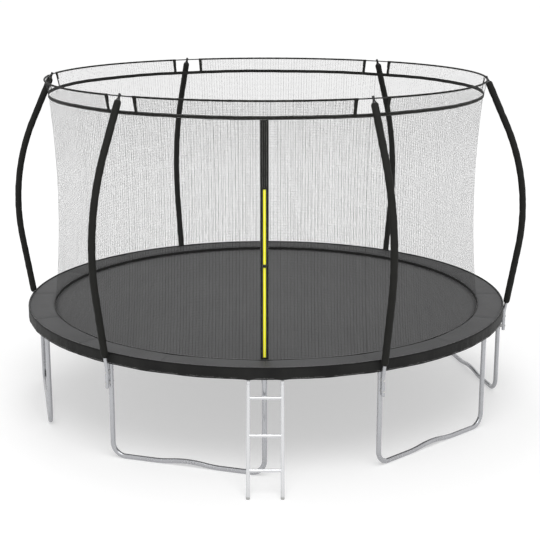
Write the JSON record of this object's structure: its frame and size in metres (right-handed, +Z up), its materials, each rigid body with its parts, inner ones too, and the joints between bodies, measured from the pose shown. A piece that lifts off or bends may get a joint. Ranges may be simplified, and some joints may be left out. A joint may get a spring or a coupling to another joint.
{
  "type": "garden trampoline",
  "caption": "Round garden trampoline with an inside safety net on bowed padded poles, a zip door, a grey edge pad, U-shaped steel legs and a hook-on ladder.",
  "frame": {"origin": "centre of the jumping mat's top face", "axes": "+Z up; the zip door and the ladder are on the -Y side"},
  "size_m": [4.4416, 4.5249, 2.7847],
  "materials": {
    "galvanised": "satin zinc coat",
    "fastener": "zinc plated",
    "spring_steel": "zinc plated wire",
    "ladder_paint": "light silver powder coat",
    "black_plastic": "matt",
    "grey_plastic": "matt",
    "foot_rubber": "matt",
    "sleeve_cover": "coated cloth over foam",
    "netting": "open fine mesh",
    "webbing": "woven",
    "zip_yellow": "woven tape",
    "pad_cover": "coated cloth over foam",
    "mat_fabric": "tight woven"
  },
  "bodies": {
    "frame": {"top_rail_1": "galvanised", "top_rail_2": "galvanised", "top_rail_3": "galvanised", "top_rail_4": "galvanised", "top_rail_5": "galvanised", "top_rail_6": "galvanised", "leg_posts_1": "galvanised", "leg_posts_2": "galvanised", "leg_posts_3": "galvanised", "leg_posts_4": "galvanised", "leg_posts_5": "galvanised", "leg_posts_6": "galvanised", "leg_base_1": "galvanised", "leg_base_2": "galvanised", "leg_base_3": "galvanised", "leg_base_4": "galvanised", "leg_base_5": "galvanised", "leg_base_6": "galvanised", "net_pole_1": "galvanised", "net_pole_2": "galvanised", "net_pole_3": "galvanised", "net_pole_4": "galvanised", "net_pole_5": "galvanised", "net_pole_6": "galvanised", "foam_sleeve_1": "sleeve_cover", "foam_sleeve_2": "sleeve_cover", "foam_sleeve_3": "sleeve_cover", "foam_sleeve_4": "sleeve_cover", "foam_sleeve_5": "sleeve_cover", "foam_sleeve_6": "sleeve_cover", "net_panel_1": "netting", "net_panel_2": "netting", "net_panel_3": "netting", "net_panel_4": "netting", "net_panel_5": "netting", "net_panel_6": "netting", "frame_screws": "fastener", "pole_spacers": "grey_plastic", "pole_bolts": "fastener", "pole_nuts": "fastener", "pole_caps": "black_plastic", "top_hoop": "sleeve_cover", "net_band": "webbing", "net_straps": "webbing", "net_top": "netting", "door_webbing": "webbing", "zip_tape": "zip_yellow", "safety_pad": "pad_cover", "springs": "spring_steel"},
    "mat": {"mat": "mat_fabric", "mat_rings": "spring_steel"},
    "zip_lower": {"zip_slider_lower": "black_plastic"},
    "zip_upper": {"zip_slider_upper": "black_plastic"},
    "ladder": {"ladder_rails": "ladder_paint", "ladder_rungs": "ladder_paint", "ladder_hooks": "ladder_paint", "ladder_feet": "foot_rubber"}
  },
  "joints": [
    {"name": "mat_bounce", "type": "slide", "parent": "frame", "child": "mat", "axis": [0, 0, -1], "range_m": [0, 0.25], "stiffness_N_per_m": 4000, "springref_m": -0.1, "deforming": ["springs"]},
    {"name": "zip_lower_slide", "type": "slide", "parent": "frame", "child": "zip_lower", "axis": [-0.0003, -0.0763, -0.9971], "range_m": [0, 0.657]},
    {"name": "zip_upper_slide", "type": "slide", "parent": "frame", "child": "zip_upper", "axis": [0, -0.0037, 1], "range_m": [0, 0.547]},
    {"name": "ladder_swing", "type": "hinge", "parent": "frame", "child": "ladder", "pos_m": [0, -2.03422, -0.0093], "axis": [-1, 0, 0], "range_deg": [0, 12]}
  ]
}
